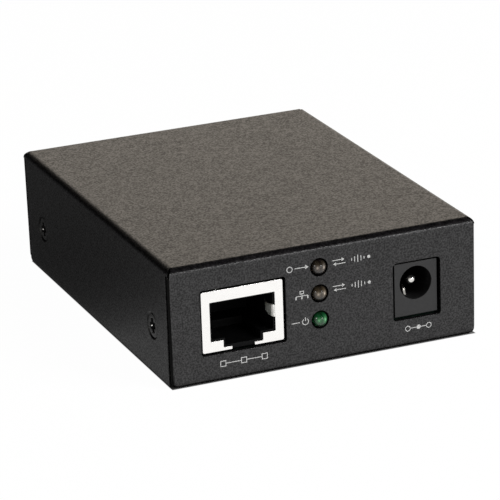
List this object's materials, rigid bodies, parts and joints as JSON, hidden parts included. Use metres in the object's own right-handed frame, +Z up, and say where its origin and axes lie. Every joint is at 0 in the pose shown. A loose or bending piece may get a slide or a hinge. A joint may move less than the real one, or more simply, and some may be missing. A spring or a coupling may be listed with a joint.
{
  "type": "fibre media converter",
  "caption": "Small flat black sheet-metal box with a copper network jack, a column of status lamps and a coaxial power socket in front, and a slot for a plug-in fibre transceiver behind.",
  "frame": {"origin": "The middle of the base's underside, which is the face that the converter stands on. The middle is that of the folded case: the lamps' domes reach 0.9 mm further forward than the front panel.", "axes": "+Z is up. +X is to the right seen from the front. +Y runs back from the front panel, which holds the network jack, the lamps and the power socket, to the rear panel with the transceiver slot."},
  "size_m": [0.06, 0.0783, 0.0225],
  "materials": {
    "case_paint": "fine satin black paint",
    "black_zinc": "black zinc, satin",
    "plated_steel": "bright zinc or tin plate",
    "tin_plate": "bright tin plate",
    "black_plastic": "moulded, matte",
    "gold_contact": "gold flash",
    "nickel_pin": "polished nickel plate",
    "circuit_board": "dark green solder mask",
    "green_lens": "tinted lens, polished",
    "clear_lens": "smoky lens, polished",
    "black_resin": "moulded resin, matte",
    "grey_ferrite": "ferrite, matte",
    "can_aluminium": "drawn can, satin",
    "tan_ceramic": "ceramic, matte"
  },
  "bodies": {
    "root": {"base_tray": "case_paint", "top_cover": "case_paint", "cover_screws": "black_zinc", "board_standoffs": "plated_steel", "board_screws": "plated_steel", "circuit_board": "circuit_board", "network_jack_shield": "tin_plate", "network_jack_body": "black_plastic", "network_jack_contacts": "gold_contact", "power_socket_body": "black_plastic", "power_socket_pin": "nickel_pin", "power_socket_leaf": "plated_steel", "lamp_holder": "black_plastic", "lamp_lower": "green_lens", "lamp_middle": "clear_lens", "lamp_upper": "clear_lens", "lamp_leads": "plated_steel", "transceiver_cage": "tin_plate", "edge_connector_body": "black_plastic", "edge_connector_contacts": "gold_contact", "line_transformer": "black_resin", "line_transformer_leads": "plated_steel", "converter_chip": "black_resin", "converter_chip_leads": "plated_steel", "memory_chip": "black_resin", "memory_chip_leads": "plated_steel", "voltage_regulator": "black_resin", "voltage_regulator_leads": "plated_steel", "power_inductor": "grey_ferrite", "electrolytic_capacitors": "can_aluminium", "clock_crystal": "tin_plate", "chip_resistors": "black_resin", "chip_capacitors": "tan_ceramic"}
  },
  "joints": []
}
